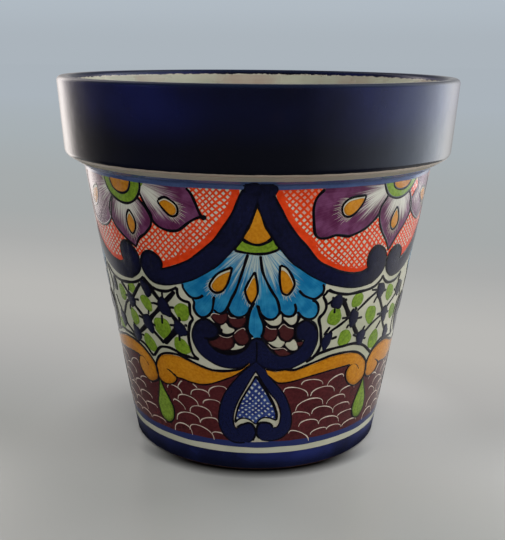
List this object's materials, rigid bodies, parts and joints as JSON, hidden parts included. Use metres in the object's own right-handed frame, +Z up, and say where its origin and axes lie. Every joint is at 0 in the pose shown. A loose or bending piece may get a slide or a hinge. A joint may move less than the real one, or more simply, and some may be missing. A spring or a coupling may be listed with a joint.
{
  "type": "glazed earthenware planter",
  "caption": "Tapered round planter with a deep overhanging rim band, a drain hole in a recessed floor, and raised enamel scroll and feather strokes round its wall.",
  "frame": {"origin": "centre of the ring that the pot stands on", "axes": "+Z up along the pot's axis, -Y towards the front of the picture, +X to its right"},
  "size_m": [0.303, 0.303, 0.2819],
  "materials": {
    "fired_clay": "bare fired earthenware, matt and slightly sandy",
    "cobalt_glaze": "near-black cobalt glaze, glossy, bluer where thin",
    "tin_ground": "cream white tin glaze, glossy",
    "inside_wash": "thin cream wash, satin, with fine specks",
    "washed_blue": "thin washed blue brush line, glossy",
    "navy_enamel": "thick navy enamel, glossy, slightly raised",
    "amber_enamel": "amber enamel, glossy, slightly raised",
    "green_enamel": "leaf green enamel, glossy, slightly raised",
    "purple_enamel": "purple enamel brushed out to white, glossy",
    "turquoise_enamel": "turquoise enamel with brushed streaks, glossy"
  },
  "bodies": {
    "root": {"wall_shell": "fired_clay", "floor_slab": "fired_clay", "rim_collar": "fired_clay", "rim_glaze": "cobalt_glaze", "foot_glaze": "cobalt_glaze", "ground_glaze": "tin_ground", "inner_glaze": "inside_wash", "top_line_enamel": "washed_blue", "base_line_enamel": "washed_blue", "swag_left_1": "navy_enamel", "swag_left_2": "navy_enamel", "swag_left_3": "navy_enamel", "swag_left_4": "navy_enamel", "swag_right_1": "navy_enamel", "swag_right_2": "navy_enamel", "swag_right_3": "navy_enamel", "swag_right_4": "navy_enamel", "scroll_left_1": "navy_enamel", "scroll_left_2": "navy_enamel", "scroll_left_3": "navy_enamel", "scroll_left_4": "navy_enamel", "scroll_right_1": "navy_enamel", "scroll_right_2": "navy_enamel", "scroll_right_3": "navy_enamel", "scroll_right_4": "navy_enamel", "heart_left_1": "navy_enamel", "heart_left_2": "navy_enamel", "heart_left_3": "navy_enamel", "heart_left_4": "navy_enamel", "heart_right_1": "navy_enamel", "heart_right_2": "navy_enamel", "heart_right_3": "navy_enamel", "heart_right_4": "navy_enamel", "vine_left_1": "amber_enamel", "vine_left_2": "amber_enamel", "vine_left_3": "amber_enamel", "vine_left_4": "amber_enamel", "vine_right_1": "amber_enamel", "vine_right_2": "amber_enamel", "vine_right_3": "amber_enamel", "vine_right_4": "amber_enamel", "leaf_drop_1": "green_enamel", "leaf_drop_2": "green_enamel", "leaf_drop_3": "green_enamel", "leaf_drop_4": "green_enamel", "petal_1": "purple_enamel", "petal_2": "purple_enamel", "petal_3": "purple_enamel", "petal_4": "purple_enamel", "feather_fan_1": "turquoise_enamel", "feather_fan_2": "turquoise_enamel", "feather_fan_3": "turquoise_enamel", "feather_fan_4": "turquoise_enamel", "fan_drop_1": "turquoise_enamel", "fan_drop_2": "turquoise_enamel", "fan_drop_3": "turquoise_enamel", "fan_drop_4": "turquoise_enamel"}
  },
  "joints": []
}
